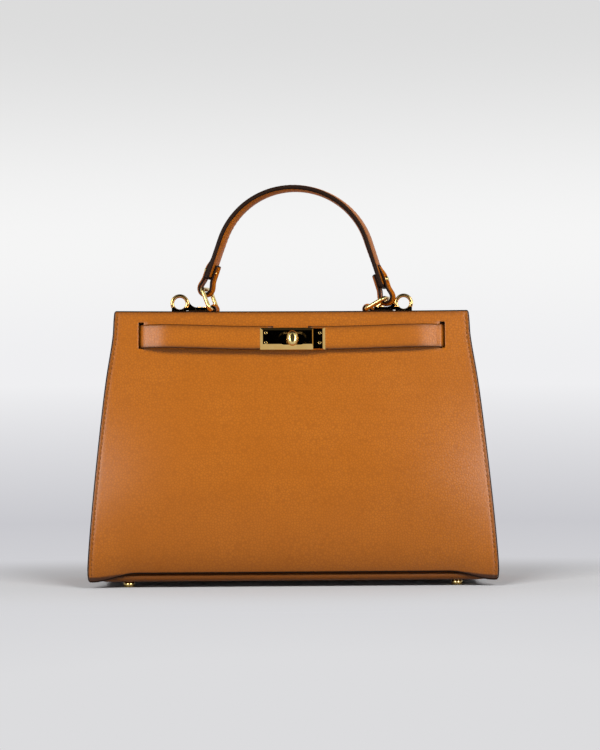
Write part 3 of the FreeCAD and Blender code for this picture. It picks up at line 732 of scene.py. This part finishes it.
def tray_loops(profile, per_side, per_corner):
    """Loops round the base. Each profile row gives an inset from the outer wall, a height and a size.

    A loop is a rounded rectangle: corner centres plus a turning direction times the corner radius less the
    inset. The front and back walls follow the leaning panels.
    """
    inset, z, share = (np.asarray(column)[:, None] for column in zip(*profile))
    quarter = np.linspace(0, np.pi / 2, per_corner)
    angles = np.concatenate([quarter + k * np.pi / 2 for k in range(4)])
    corner_x = np.repeat([1, -1, -1, 1], per_corner)
    corner_y = np.repeat([1, 1, -1, -1], per_corner)
    half_x = base_high.x - tray_corner
    half_y = outer_depth(z) - panel_thickness / math.cos(lean) - tray_corner
    reach = tray_corner - inset
    x = corner_x * half_x + np.cos(angles) * reach
    y = corner_y * half_y + np.sin(angles) * reach
    points = np.stack([x, y], axis=-1)
    ahead = np.roll(points, -1, axis=1)
    last = np.arange(1, 5) * per_corner - 1
    along = np.linspace(0, 1, per_side + 2)[1:-1]
    pieces = []
    for end in last:
        start = points[:, end:end + 1]
        run = start + (ahead[:, end:end + 1] - start) * along[None, :, None]
        pieces += [points[:, end - per_corner + 1:end + 1], run]
    loops = np.concatenate(pieces, axis=1) * share[..., None]
    heights = np.broadcast_to(z, loops.shape[:2])
    return np.dstack([loops, heights])


def tray():
    """Base tray: underside from its middle out to a rolled edge, up the wall, over its rim and back inside.

    The wall draws in above the roll by a smooth step, which leaves a dark gap under the panels' lower edges.
    """
    roll = np.linspace(np.pi / 2, 0, 8)
    floor_z = base_low.z
    inside_z = floor_z + base_thickness - 0.05 * MM
    under = [(tray_roll, floor_z, share) for share in (0.3, 0.6, 0.85, 0.96)]
    outside = [(tray_roll * (1 - math.cos(a)), floor_z + tray_roll * (1 - math.sin(a)), 1.0) for a in roll]
    wall_z = np.linspace(floor_z + tray_roll + 0.8 * MM, base_high.z - 1 * MM, 12)
    drawn_in = rise_between(wall_z, wall_z[0], recess_low) - rise_between(wall_z, recess_high, recess_end)
    wall = [(tray_recess * share, z, 1.0) for share, z in zip(drawn_in, wall_z)]
    rim_z = base_high.z - 0.3 * MM
    rim = [(0.3 * MM, rim_z, 1.0), (1 * MM, base_high.z, 1.0), (1.7 * MM, rim_z, 1.0)]
    inner = tray_recess + base_thickness
    inside = [
        (base_thickness, base_high.z - 1 * MM, 1.0), (inner, recess_high, 1.0), (inner, recess_low, 1.0),
        (base_thickness, inside_z + 2.5 * MM, 1.0),
    ]
    floor = [(base_thickness + 1.5 * MM, inside_z, share) for share in (1.0, 0.85, 0.6, 0.3)]
    profile = under + outside + wall + rim + inside + floor
    loops = tray_loops(profile, 24, 7)
    rows, columns = loops.shape[:2]
    number = np.arange(rows * columns).reshape(rows, columns)
    ahead = np.roll(number, -1, axis=1)
    squares = np.stack([number[:-1], ahead[:-1], ahead[1:], number[1:]], axis=-1).reshape(-1, 4)
    poles = np.array([[0, 0, floor_z], [0, 0, inside_z]])
    under_pole = np.full(columns, rows * columns)
    fans = np.concatenate([
        np.stack([under_pole, ahead[0], number[0]], axis=1),
        np.stack([under_pole + 1, number[-1], ahead[-1]], axis=1),
    ])
    points = np.concatenate([loops.reshape(-1, 3), poles])
    rim_row = len(under) + len(outside) + len(wall)
    row_of = np.repeat(np.arange(rows - 1), columns)
    finish_numbers = np.where(row_of < rim_row - 1, 0, np.where(row_of < rim_row + len(rim), 2, 1))
    fan_numbers = np.repeat([0, 1], columns)
    # Every tray point takes the same share of the dark band, as painted shade
    return put_mesh(
        "base_tray_leather", points, squares.tolist() + fans.tolist(), (calf, suede, paint),
        np.concatenate([finish_numbers, fan_numbers]), np.full(len(points), tray_painted_shade),
    )


finish_piece(tray(), "shell", "base_panel")


# Linings

lining_thickness = 0.9 * MM
lining_top_half = 131 * MM
lining_slack = 0.5 * MM
lining_low, lining_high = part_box("front_lining")


def lining_half(z):
    """Half width of a lining, narrowing evenly to stay clear of the folded gussets."""
    share = (z - lining_low.z) / (lining_high.z - lining_low.z)
    return lining_high.x + (lining_top_half - lining_high.x) * share


def lining_drape(x, z):
    """Slack of a lining off its panel: shallow ripples that fade towards the lock and the edges."""
    share = share_between(z, lining_low.z, lining_high.z)
    ripples = 1 + np.sin(27 * x) * np.sin(19 * z + 1)
    return -lining_slack * ripples * np.sin(np.pi * share) * (1 - rise_between(share, 0.6, 0.8))


for name, side in (("front", -1), ("back", 1)):
    slotted = name == "front"
    x, z, columns, rows, to_side = leaning_pattern(lining_half, lining_low.z, lining_high.z, slotted=slotted)
    out = panel_swell(x, z, to_side + edge_reach) - panel_thickness - lining_thickness + lining_drape(x, z)
    face = on_panel(side, x, z, out)
    hole = slot_holes(columns, rows, lining_low.z)
    if slotted:
        face, hole = face[:, ::-1], hole[:, ::-1]
    lining = cut_sheet(
        name + "_lining_suede", face, lining_thickness, (suede, suede, suede), bulge=0.15 * MM,
        kept=~hole if slotted else None,
    )
    finish_piece(lining, "shell", name + "_lining", slot="lining_leather")


# Belt straps

belt_thickness = 1.8 * MM
belt_width = 19 * MM
belt_sag = 1.8 * MM
belt_bow = 0.6 * MM


def belt_face(side, inner_end, tail_end, stand):
    """Face of a belt strap: it lies under its plate, bows along the panel and slopes into its slot to a tail.

    A B-spline gives the run as x and distance out. The strap hangs lower at the lock than at the slot by a
    smooth step.
    """
    leg = slot_middle + 0.2 * MM
    inside = -panel_thickness - 1.05 * MM
    bow = stand + belt_bow
    run = smooth_path([
        (inner_end, stand), (inner_end + 14 * MM, stand), (44 * MM, stand), (72 * MM, bow), (92 * MM, bow),
        (103 * MM, bow * 0.97), (109 * MM, bow * 0.82), (114.5 * MM, bow * 0.63), (119.5 * MM, bow * 0.45),
        (leg - 1.6 * MM, 1.9 * MM), (leg - 0.2 * MM, 0.9 * MM), (leg, -0.8 * MM), (leg, -2.4 * MM),
        (leg + 0.3 * MM, inside), (leg + 2.6 * MM, inside), (tail_end, inside),
    ], 110)
    rows = spread(belt_width, 2.5 * MM) - belt_width / 2
    hang = belt_sag * rise_between(run[:, 0], 30 * MM, slot_middle - 6 * MM)
    z = belt_middle + rows[:, None] + hang[None]
    face = on_panel(-1, side * run[:, 0], z, run[:, 1])
    return face if side > 0 else face[:, ::-1]


for name, side, stand in (("left", -1, 5.4 * MM), ("right", 1, 3.8 * MM)):
    low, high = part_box(name + "_belt")
    inner_end, tail_end = sorted((abs(low.x), abs(high.x)))
    face = belt_face(side, inner_end, tail_end, stand)
    belt = cut_sheet(
        name + "_belt_strap", face, belt_thickness, (calf, calf, paint),
        joined="lh", painted_sides="", bulge=0.1 * MM,
    )
    finish_piece(belt, "shell", name + "_belt")


# Tuck-in flap, its fold at the back, and its lining

flap_thickness = 2.3 * MM
flap_half = flap_high.x
lip_half = lip_high.x
hinge_y = flap_high.y
hinge_z = flap_low.z
fold_start = 18 * MM
flap_droop = 0.9 * MM
droop_start = 108 * MM
droop_front = -24 * MM
droop_full = -10 * MM
flap_offsets = spread(2 * flap_half, 5 * MM) - flap_half
flap_shares = flap_offsets / flap_half


def flap_face():
    """Face of the flap: the lip rises on an arc about the hinge, rounds over and runs level to the back fold.

    The half width grows from the lip's to the flap's by a smooth step round the front edge. The ends droop.
    """
    reach = hinge_y - lip_low.y
    drop = math.asin((hinge_z - lip_low.z) / reach)
    angle = np.linspace(drop, 0.1 * drop, 6)
    arc = np.stack([hinge_y - reach * np.cos(angle), hinge_z - reach * np.sin(angle)], axis=1)
    top = flap_high.z
    level = [(y, top) for y in (lip_low.y + 3 * MM, -14 * MM, -4 * MM, 6 * MM, 12 * MM, fold_start)]
    path = smooth_path(arc.tolist() + [(lip_low.y, top - 0.8 * MM), (lip_low.y + 0.6 * MM, top)] + level, 64)
    turn = np.interp(hinge_z, path[:40, 1], walked(path)[:40])
    half = lip_half + (flap_half - lip_half) * rise_between(walked(path), turn - 3 * MM, turn + 7 * MM)
    x = half[:, None] * flap_shares
    droop = flap_droop * rise_between(np.abs(x), droop_start, flap_half)
    droop = droop * rise_between(path[:, :1], droop_front, droop_full)
    return spread_points(x, path[:, :1], path[:, 1:] - droop)


def fold_face(flap_edge):
    """Face of the fold that hinges the flap: level from the flap's last row, then down onto the back."""
    foot_y = outer_depth(fold_low)
    top = flap_high.z
    path = smooth_path([
        (fold_start, top), (fold_start + 4 * MM, top), (hinge_y - 3 * MM, top),
        (hinge_y + 0.6 * MM, top - 1 * MM), (outer_depth(top - 6 * MM), top - 5 * MM),
        (foot_y - 0.3 * MM, fold_low + 2.5 * MM), (foot_y, fold_low),
    ], 24)
    share = walked(path)[:, None] / walked(path)[-1]
    half = flap_half + (panel_half(fold_low) - flap_half) * share
    x = half * flap_shares
    droop = (top - flap_edge[:, 2]) * (1 - rise_between(share, 0, 1))
    return spread_points(x, path[:, :1], path[:, 1:] - droop)


face = flap_face()
flap = cut_sheet("flap_leather", face, flap_thickness, (calf, suede, paint), joined="t")
finish_piece(flap, "flap", "top_flap", "flap_lip")
flap_stitches = sew("flap_stitching", [seam(face, seam_step, 3, None), seam(face, -1 - seam_step, 3, None)])
finish_piece(flap_stitches, "flap")

fold = cut_sheet("flap_fold_leather", fold_face(face[-1]), flap_thickness, (calf, suede, paint), joined="bt")
finish_piece(fold, None)
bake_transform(fold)

under_low, under_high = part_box("flap_lining")
rows = under_high.y - spread(under_high.y - under_low.y, 5 * MM)
columns = spread(2 * under_high.x, 8 * MM) - under_high.x
face = spread_points(columns, rows[:, None], under_low.z + 0.05 * MM)
under_thickness = under_high.z - under_low.z
under = cut_sheet("flap_lining_suede", face, under_thickness, (suede, suede, suede), bulge=0.15 * MM)
finish_piece(under, "flap", "flap_lining", slot="lining_leather")


# Handle tabs, folded round the rings' lower bars

ring_pitch = 18 * MM
tab_middle = 64 * MM
tab_ply = 1.3 * MM
tab_width = 12 * MM
tab_radius = 3.3 * MM
tab_tail = 21 * MM
bar_z = flap_high.z + tab_radius


def strip_face(path, width, facing):
    """Face of a strip: a path of x and z on the bag's middle plane, carried along the skewed width."""
    steps = spread(width, 2 * MM) - width / 2
    middle = np.stack([path[:, 0], np.zeros(len(path)), path[:, 1]], axis=1)
    return middle[:, None] + across * (facing * steps)[None, :, None]


def tab_path():
    """Right tab: in along the flap, round the ring's bar, then down onto the lower tail and out again."""
    low, tail_top = flap_high.z + 0.05 * MM, flap_high.z + 2 * tab_ply
    angle = np.radians(np.linspace(-90, -285, 22))
    loop = np.stack([np.cos(angle), np.sin(angle)], axis=1) * tab_radius + (tab_middle, bar_z)
    low_tail = [(tab_middle + tab_tail, low), (tab_middle + tab_tail / 2, low), (tab_middle + 2 * MM, low)]
    down = smooth_path([
        loop[-1], (tab_middle + 2.6 * MM, bar_z + 2.4 * MM), (tab_middle + 3.6 * MM, tail_top + 0.6 * MM),
        (tab_middle + 4.2 * MM, tail_top), (tab_middle + 7 * MM, tail_top), (tab_middle + tab_tail, tail_top),
    ], 20)
    return np.concatenate([low_tail, loop, down[1:]])


for name, side in both_sides:
    face = strip_face(tab_path() * (side, 1), tab_width, -side)
    tab = cut_sheet(name + "_handle_tab_leather", face, tab_ply, (calf, calf, paint))
    finish_piece(tab, "flap", name + "_handle_tab")


# Handle strap and its end loops

strap_half = 2.2 * MM
strap_width = 20 * MM
strap_edge_half = 1.6 * MM
strap_dome = 0.6 * MM
strap_belly = 0.6 * MM
crown_belly = 1.9 * MM
belly_start = 14 * MM
belly_full = 40 * MM
seam_depth = 0.3 * MM
crown_radius = 64 * MM
crown = np.array([3.9 * MM, handle_apex - strap_half - crown_radius])
end_gap = 9 * MM
loop_ply = 2 * MM
loop_radius = 5.6 * MM
loop_lift = 0.95 * MM
loop_width = 10.8 * MM
pared_start = 17 * MM
pared_tail = 28 * MM
pared_edge = 0.7 * MM
square_tail = 21.5 * MM
ring_angles = {"left": -21, "right": 60}


def handle_leg(side, angle):
    """A leg's pivot, its rising and outward directions, and the outward one's angle, on the middle plane.

    The leg is the tangent from the ring's upper bar to the crown's circle.
    """
    turn = math.radians(angle)
    slide = ring_pitch * math.sin(turn) * math.tan(skew)
    pivot_x = side * tab_middle + slide * math.sin(skew) + ring_pitch * math.sin(turn) * math.cos(skew)
    pivot = np.array([pivot_x, bar_z + ring_pitch * math.cos(turn)])
    reach = pivot - crown
    facing = math.atan2(reach[1], reach[0]) + side * math.acos(crown_radius / np.linalg.norm(reach))
    out = np.array([math.cos(facing), math.sin(facing)])
    rise = unit(crown + out * crown_radius - pivot)
    return pivot, rise, out, facing


legs = {name: handle_leg(side, ring_angles[name]) for name, side in both_sides}


def strap_path(out_by):
    """Line of the strap from its right end over the crown to its left end, a distance out from its middle."""
    angle = np.linspace(legs["right"][3], legs["left"][3] % math.tau, 70)
    arc = crown + np.stack([np.cos(angle), np.sin(angle)], axis=1) * (crown_radius + out_by)
    along = np.linspace(0, 1, 16)[:-1, None]
    runs = {}
    for name, joint in (("right", arc[0]), ("left", arc[-1])):
        pivot, rise, out = legs[name][:3]
        end = pivot + rise * end_gap + out * out_by
        runs[name] = end + (joint - end) * along
    return np.concatenate([runs["right"], arc, runs["left"][::-1]])


def strap_rounding(face):
    """How far the strap's faces stand out from its thin edges: 1 - w^2 across, fullest below the crown."""
    width = np.linalg.norm(face - face[:, :1], axis=-1)
    across_share = 1 - (width / width[:, -1:] * 2 - 1) ** 2
    along = walked(face[:, 0])
    from_end = np.minimum(along, along[-1] - along)[:, None]
    belly = strap_belly + (crown_belly - strap_belly) * rise_between(from_end, belly_start, belly_full)
    return strap_dome * across_share, belly * across_share


face = strip_face(strap_path(strap_edge_half), strap_width, 1)
upper_rise, lower_rise = strap_rounding(face)
face = face + surface_normals(face) * upper_rise[..., None]
strap_thickness = 2 * strap_edge_half + upper_rise + lower_rise
strap = cut_sheet("handle_strap_leather", face, strap_thickness, (rubbed_calf, rubbed_calf, paint))
finish_piece(strap, "handle", "handle_upper", "handle_core", "handle_lower")
strap_back = face - surface_normals(face) * strap_thickness[..., None]
strap_seams = [3, -4]
handle_stitches = sew("handle_stitching", [seam(face, k, 2, -2) for k in strap_seams] + [
    (strap_back[2:-2, k], -surface_normals(face)[2:-2, k]) for k in strap_seams
], sunk=seam_depth)
finish_piece(handle_stitches, "handle")


def loop_path(leg):
    """Outer line of an end loop and its thickness: down the strap's face, round the ring's bar, up inside.

    The outer tail is pared down to the strap's face by a smooth step, and the inner tail ends square. Below
    the strap's end the distance out swells from its faces to the loop's radius by another smooth step.
    """
    pivot, rise, out = leg[:3]
    flat = strap_half + loop_ply
    outer_along = np.linspace(pared_tail, loop_lift, 34)
    inner_along = np.linspace(loop_lift, square_tail, 28)
    swell_out, swell_in = (
        (loop_radius - flat) * (1 - rise_between(along, loop_lift, end_gap))
        for along in (outer_along, inner_along)
    )
    pared = (loop_ply - pared_edge) * rise_between(outer_along, pared_start, pared_tail)
    angle = np.linspace(0, np.pi, 18)[1:-1]
    along = np.concatenate([outer_along, loop_lift - loop_radius * np.sin(angle), inner_along])
    away = np.concatenate([flat + swell_out - pared, loop_radius * np.cos(angle), -flat - swell_in])
    thickness = np.full(len(along), loop_ply)
    thickness[:len(pared)] -= pared
    return pivot + along[:, None] * rise + away[:, None] * out, thickness


for name, side in both_sides:
    path, thickness = loop_path(legs[name])
    face = strip_face(path, loop_width, -side)
    loop = cut_sheet(
        name + "_handle_loop_leather", face, thickness[:, None], (rubbed_calf, rubbed_calf, paint),
    )
    finish_piece(loop, "handle", name + "_handle_loop")


# Metal fittings and the base board keep their solids

plates = (
    "foot_washers", "left_belt_plate", "right_belt_plate", "lock_base", "lock_back_plate", "lock_screws",
    "lock_post", "lock_retainer", "left_strap_eye", "right_strap_eye", "eye_screws", "eye_backing_plates",
)
worn_fittings = (
    "base_feet", "belt_plate_rivets", "lock_knob", "left_handle_ring", "right_handle_ring", "handle_rivets",
)
for names, finish in ((plates, gold), (worn_fittings, worn_gold), (("base_board",), board)):
    for name in names:
        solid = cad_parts[name].data
        solid.materials.clear()
        solid.materials.append(finish)


# Stage: a wide pale floor

def combined(tree, operation, first, second=0.0):
    """Result of one sum on numbers."""
    return add(tree, "Math", {0: first, 1: second}, operation=operation).outputs["Value"]


def length_after(tree, operation, place, by):
    """Length of coordinates that are first moved or scaled."""
    changed = add(tree, "VectorMath", {0: place, 1: by}, operation=operation).outputs["Vector"]
    return add(tree, "VectorMath", {0: changed}, operation="LENGTH").outputs["Value"]


def shade_ramp(tree, share, first, middle, last, interpolation="LINEAR"):
    """Ramp of three stops, each a place and an sRGB hex value."""
    node = add(tree, "ValToRGB", {"Fac": share})
    stops = node.color_ramp.elements
    stops[0].position, stops[1].position = first[0], last[0]
    stops[0].color, stops[1].color = srgb(first[1]), srgb(last[1])
    stops.new(middle[0]).color = srgb(middle[1])
    node.color_ramp.interpolation = interpolation
    return node.outputs["Color"]


def matt_floor():
    """Matt pale floor paint. Away from the bag it shows an even studio shade to the eye and to metal.

    The shade goes from pale in front of the bag through a soft grey behind it to a paler one far off, by the
    distance r from a spot in front as r / (r + 2 m). Metal finds the floor near the camera dark.
    """
    finish, tree, place = start_finish("matt_pale_floor")
    distance = length_after(tree, "ADD", place, (0.0, 0.7, 0.0))
    share = combined(tree, "DIVIDE", distance, combined(tree, "ADD", distance, 2.0))
    shades = shade_ramp(tree, share, (0.1, "#DCDCDE"), (0.42, "#C9C9CE"), (0.95, "#EFEFF1"))
    lit = add(tree, "Emission", {"Color": shades, "Strength": 1.0})
    matt = add(tree, "BsdfDiffuse", {"Color": srgb("#B9BBBF"), "Roughness": 0.6})
    away = stepped(tree, length_after(tree, "MULTIPLY", place, (1.0, 3.0, 1.0)), 0.22, 0.75)
    depth = add(tree, "SeparateXYZ", {"Vector": place}).outputs["Y"]
    rays = add(tree, "LightPath").outputs
    mirrored = combined(tree, "MAXIMUM", rays["Is Glossy Ray"], rays["Is Transmission Ray"])
    near_bag = combined(tree, "MULTIPLY", mirrored, stepped(tree, depth, -1.3, -0.7))
    shown = combined(tree, "MAXIMUM", rays["Is Camera Ray"], near_bag)
    both = add(tree, "MixShader", {
        0: combined(tree, "MULTIPLY", shown, away), 1: matt.outputs["BSDF"], 2: lit.outputs["Emission"],
    })
    add(tree, "OutputMaterial", {"Surface": both.outputs["Shader"]})
    return finish


floor_reach = 40
floor_side = np.array([-floor_reach, floor_reach])
floor_points = spread_points(floor_side, floor_side[:, None], 0.0)
floor = put_mesh("studio_floor", floor_points.reshape(-1, 3), quads(2, 2).reshape(-1, 4), [matt_floor()])


# Studio light: on each side a high softbox, and a low card that shows in metal and as sheen on the leather

lamp_shade = (1.0, 0.975, 0.94)


def softbox(name, place, target, size, power):
    """Rectangular area lamp that faces a target."""
    lamp = bpy.data.lights.new(name, "AREA")
    lamp.shape = "RECTANGLE"
    lamp.size, lamp.size_y = size
    lamp.energy = power
    lamp.color = lamp_shade
    holder = bpy.data.objects.new(name, lamp)
    bpy.context.scene.collection.objects.link(holder)
    holder.location = place
    x, y, z = np.subtract(target, place)
    holder.rotation_euler = (math.pi / 2 + math.atan2(z, math.hypot(x, y)), 0, math.atan2(-x, y))
    return holder


for name, side in both_sides:
    high_box = softbox(
        name + "_high_softbox", place=(0.75 * side, -1.05, 1.18), target=(0, 0, 0.13),
        size=(0.9, 0.5), power=17,
    )
    high_box.visible_glossy = False
    low_card = softbox(
        name + "_low_card", place=(0.8 * side, -1.2, 0.45), target=(0, 0, 0.15),
        size=(0.3, 0.5), power=8,
    )
    low_card.visible_diffuse = False


def studio_room():
    """Room round the stage: pale to the camera, and to metal pale beside and behind, dark in front and above.

    Its shade falls off upwards from the horizon. Its strength for metal is a smooth step of y + |x| along the
    ray, times a smooth step down with height. Matt surfaces get light from behind, by a smooth step of y.
    """
    room = bpy.data.worlds.new("studio_room")
    room.use_nodes = True
    tree = room.node_tree
    tree.nodes.clear()
    way = add(tree, "TexCoord").outputs["Generated"]
    x, y, z = add(tree, "SeparateXYZ", {"Vector": way}).outputs
    height = add(tree, "MapRange", {"Value": z, "From Min": 0.0, "From Max": 0.2}).outputs["Result"]
    shades = shade_ramp(tree, height, (0.0, "#EFEFF1"), (0.3, "#F5F5F5"), (0.85, "#DCDCDC"), "EASE")
    aside = stepped(tree, combined(tree, "ADD", y, combined(tree, "ABSOLUTE", x)), -0.92, -0.55)
    walls = combined(tree, "MULTIPLY", aside, stepped(tree, z, 0.45, 0.75, 1.0, 0.05))
    behind = stepped(tree, y, -0.3, 0.5, 0.04, 1.5)
    rays = add(tree, "LightPath").outputs
    around = ranged(tree, rays["Is Diffuse Ray"], walls, behind)
    strength = ranged(tree, rays["Is Camera Ray"], around, 1.0)
    shown = add(tree, "Background", {"Color": shades, "Strength": strength})
    add(tree, "OutputWorld", {"Surface": shown.outputs["Background"]})
    return room


bpy.context.scene.world = studio_room()


# Camera at the photograph's angle: almost square on, level with the bag's upper third

camera_distance = 1.8
camera_bearing = math.radians(-1.5)
camera_turn = math.radians(1.731)
camera_height = 0.1716
camera_roll = math.radians(0.25)
picture_width = 600
focal_pixels = 2160
lens = bpy.data.cameras.new("camera")
lens.sensor_fit = "HORIZONTAL"
lens.sensor_width = 36
lens.lens = focal_pixels * lens.sensor_width / picture_width
camera = bpy.data.objects.new("camera", lens)
bpy.context.scene.collection.objects.link(camera)
camera.location = (
    camera_distance * math.sin(camera_bearing), -camera_distance * math.cos(camera_bearing), camera_height,
)
camera.rotation_euler = (math.pi / 2, camera_roll, -camera_turn)
bpy.context.scene.camera = camera
bpy.context.scene.view_settings.view_transform = "Standard"
